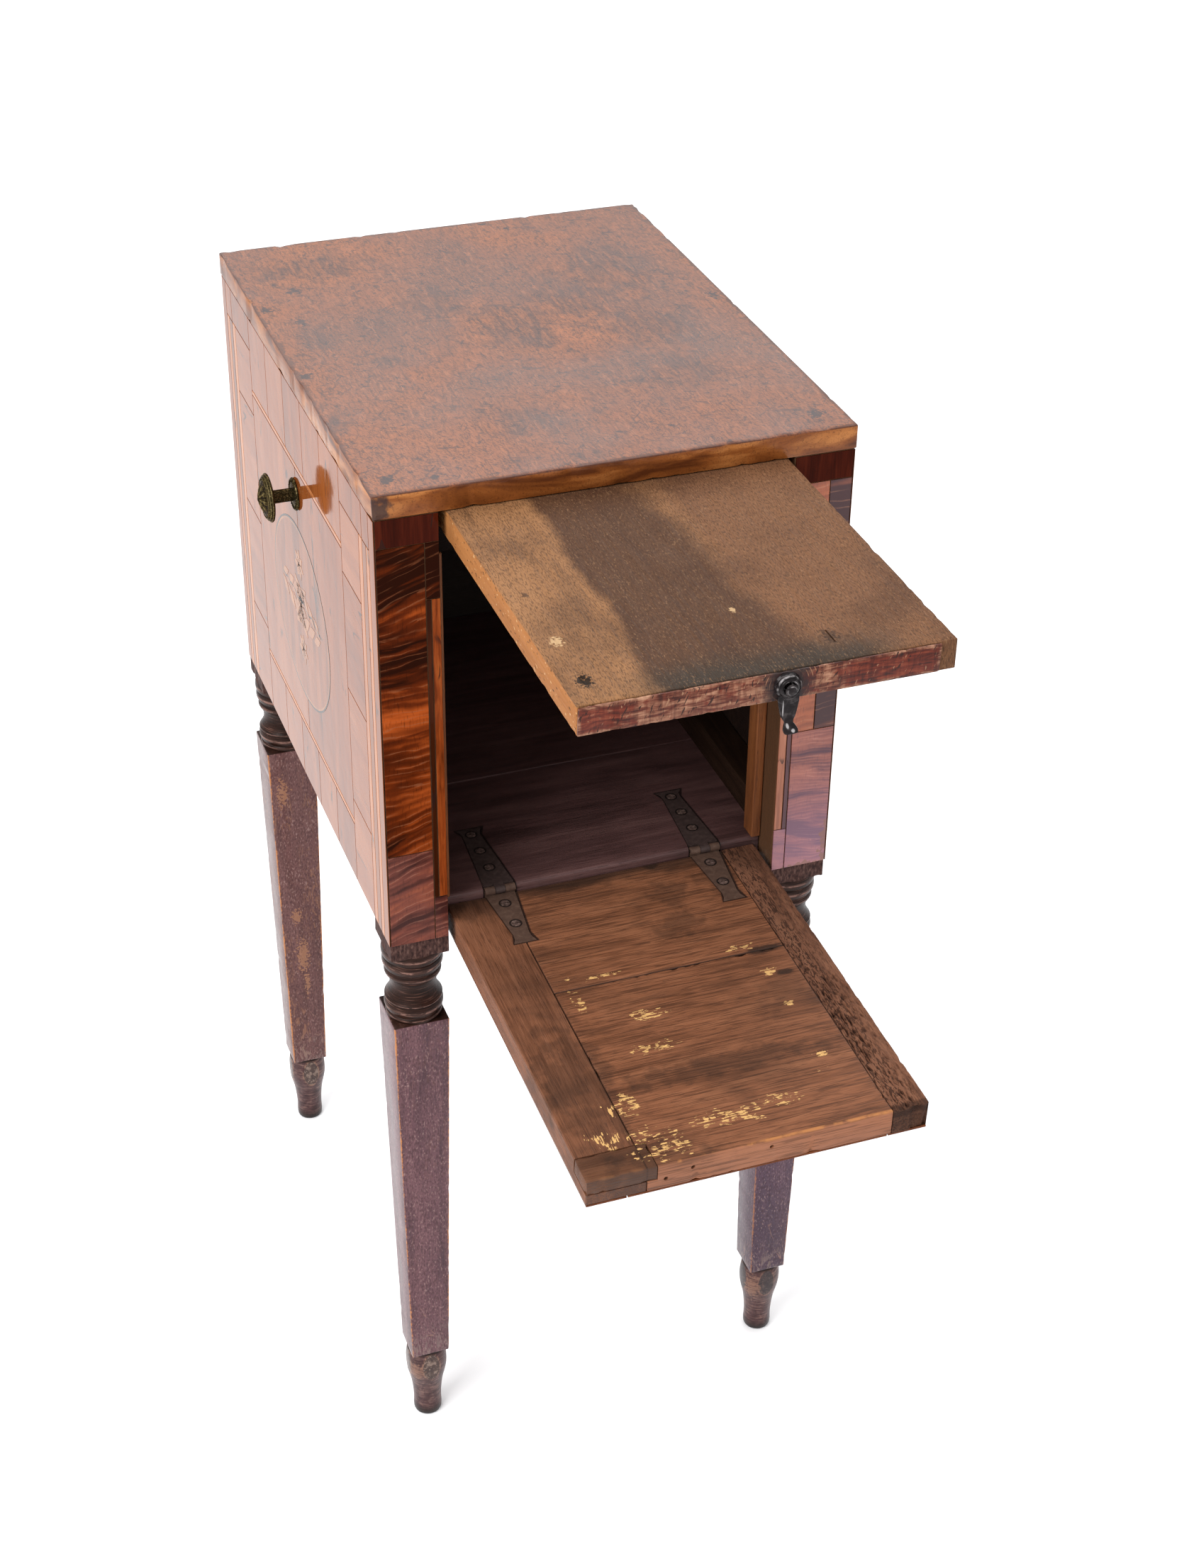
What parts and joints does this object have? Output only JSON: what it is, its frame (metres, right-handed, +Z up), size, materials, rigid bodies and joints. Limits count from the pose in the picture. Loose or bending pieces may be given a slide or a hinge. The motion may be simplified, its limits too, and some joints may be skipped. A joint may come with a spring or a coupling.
{
  "type": "nightstand",
  "caption": "Veneered bedside cupboard on turned and tapered legs, with a let-down door on iron hinges, a pull-out slide under the top, a turn-button and a side knob.",
  "frame": {"origin": "on the floor, under the middle of the open cupboard's outline (door let down, slide pulled out)", "axes": "+Z up, the front with the door faces -Y, the knob is on the -X side"},
  "size_m": [0.337, 0.6536, 0.78],
  "materials": {
    "top_wood": "worn polish",
    "walnut": "glossy polish",
    "stained_wood": "dark stain, worn",
    "pine": "raw, aged",
    "raw_wood": "raw, stained by use",
    "dark_wood": "raw, darkened",
    "red_edge": "red stain, worn",
    "rusty_iron": "rusted",
    "dark_iron": "blackened",
    "old_brass": "dark patina"
  },
  "bodies": {
    "case": {"top_board": "top_wood", "front_left_leg": "stained_wood", "front_right_leg": "stained_wood", "back_left_leg": "stained_wood", "back_right_leg": "stained_wood", "left_side_panel": "walnut", "right_side_panel": "walnut", "lower_back_board": "pine", "upper_back_board": "pine", "front_floor_board": "dark_wood", "back_floor_board": "dark_wood", "left_floor_rail": "dark_wood", "right_floor_rail": "dark_wood", "left_door_stop": "pine", "right_door_stop": "pine", "left_slide_runner": "dark_wood", "right_slide_runner": "dark_wood", "left_slide_guide": "dark_wood", "right_slide_guide": "dark_wood", "knob_rosette": "old_brass", "knob_head": "old_brass", "knob_nut": "dark_iron", "left_hinge_floor_leaf": "rusty_iron", "right_hinge_floor_leaf": "rusty_iron", "left_hinge_pin": "rusty_iron", "right_hinge_pin": "rusty_iron", "left_hinge_floor_screw_1": "rusty_iron", "left_hinge_floor_screw_2": "rusty_iron", "left_hinge_floor_screw_3": "rusty_iron", "right_hinge_floor_screw_1": "rusty_iron", "right_hinge_floor_screw_2": "rusty_iron", "right_hinge_floor_screw_3": "rusty_iron"},
    "door": {"door_left_batten": "pine", "door_right_batten": "pine", "door_lower_board": "pine", "door_upper_board": "pine", "door_corner_block": "pine", "door_veneer": "walnut", "left_hinge_door_leaf": "rusty_iron", "right_hinge_door_leaf": "rusty_iron", "left_hinge_door_screw_1": "rusty_iron", "left_hinge_door_screw_2": "rusty_iron", "right_hinge_door_screw_1": "rusty_iron", "right_hinge_door_screw_2": "rusty_iron"},
    "slide": {"slide_board": "raw_wood", "slide_edge_veneer": "red_edge", "latch_washer": "dark_iron", "latch_screw": "dark_iron"},
    "latch": {"latch_arm": "dark_iron"}
  },
  "joints": [
    {"name": "door_hinge", "type": "hinge", "parent": "case", "child": "door", "pos_m": [0.013, -0.04902, 0.4652], "axis": [-1, 0, 0], "range_deg": [0, 91.8]},
    {"name": "slide_pull", "type": "slide", "parent": "case", "child": "slide", "axis": [0, 1, 0], "range_m": [-0.045, 0.233]},
    {"name": "latch_turn", "type": "hinge", "parent": "slide", "child": "latch", "pos_m": [0.0216, -0.30452, 0.7548], "axis": [0, 1, 0], "continuous": true}
  ]
}
